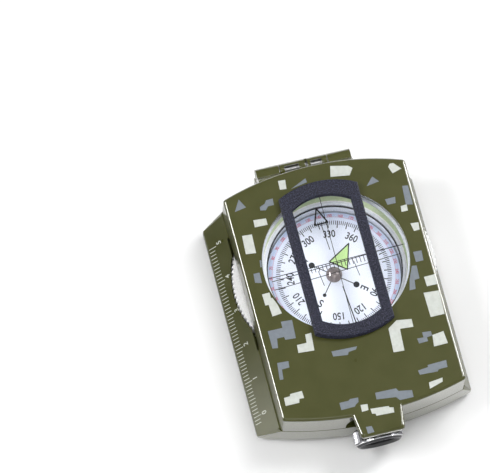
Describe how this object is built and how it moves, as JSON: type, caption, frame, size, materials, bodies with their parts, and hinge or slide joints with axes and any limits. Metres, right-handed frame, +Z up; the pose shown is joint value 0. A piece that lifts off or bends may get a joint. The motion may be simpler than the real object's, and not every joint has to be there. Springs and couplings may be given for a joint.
{
  "type": "sighting compass",
  "caption": "Pocket sighting compass: metal base with a turning bezel and liquid capsule, hinged window lid with a raised sighting frame, and a focusing eyepiece under the lid's tongue.",
  "frame": {"origin": "on the dial's turning axis, at the flat underside that the compass rests on", "axes": "+Z up along the dial's axis, +Y towards the lid's hinge (the length), +X towards the right flank (the width)"},
  "size_m": [0.0601, 0.0843, 0.02],
  "materials": {
    "olive_paint": "gloss olive paint with off-white and blue-grey angular patches on the lid's top",
    "black_texture": "fine speckled dark slate coating",
    "plated_metal": "bright plated",
    "steel": "plain steel",
    "black_plastic": "matt black",
    "white_plastic": "white moulded",
    "card_white": "white printed card",
    "luminous": "pale green luminous",
    "nylon": "natural nylon",
    "rubber": "black seal",
    "brass": "turned brass",
    "hub_metal": "polished brown-grey metal",
    "clear_acrylic": "clear acrylic",
    "optic_glass": "polished glass",
    "level_acrylic": "yellow-green filled acrylic"
  },
  "bodies": {
    "base": {"base_housing": "olive_paint", "bottom_cover": "olive_paint", "cover_screws": "steel", "friction_ring": "nylon", "eyepiece_barrel": "black_plastic", "reading_prism": "optic_glass", "eyepiece_screws": "steel", "level_cup": "plated_metal", "level_vial": "level_acrylic"},
    "lid": {"lid_shell": "olive_paint", "window_glass": "clear_acrylic", "window_ring": "black_plastic", "sight_frame": "black_texture", "frame_screws": "steel", "hinge_pin": "steel"},
    "bezel": {"bezel_ring": "plated_metal", "luminous_ring": "luminous", "capsule_cup": "white_plastic", "capsule_glass": "clear_acrylic", "capsule_seal": "rubber", "pivot_post": "brass"},
    "card": {"compass_card": "card_white", "card_magnets": "steel", "card_hub": "hub_metal"},
    "focus_wheel": {"focus_ring": "plated_metal"},
    "lens_slider": {"lens_cell": "black_plastic", "eyepiece_lens": "optic_glass", "lens_retainer": "black_plastic"}
  },
  "joints": [
    {"name": "lid_hinge", "type": "hinge", "parent": "base", "child": "lid", "pos_m": [-0.0012, 0.0305, 0.0126], "axis": [-1, 0, 0], "range_deg": [0, 180]},
    {"name": "bezel_turn", "type": "hinge", "parent": "base", "child": "bezel", "pos_m": [0, 0, 0.008], "axis": [0, 0, 1], "continuous": true},
    {"name": "card_swing", "type": "hinge", "parent": "bezel", "child": "card", "pos_m": [0, 0, 0.0055], "axis": [0, 0, 1], "continuous": true},
    {"name": "focus_turn", "type": "hinge", "parent": "base", "child": "focus_wheel", "pos_m": [-0.0005, -0.04898, 0.00897], "axis": [0, -0.9863, -0.165], "range_deg": [-120, 120]},
    {"name": "lens_slide", "type": "slide", "parent": "base", "child": "lens_slider", "axis": [0, -0.9863, -0.165], "range_m": [-0.0012, 0.0012]}
  ],
  "couplings": [
    {"joint": "lens_slide", "follows": "focus_turn", "m_per_rad": 0.000572}
  ]
}
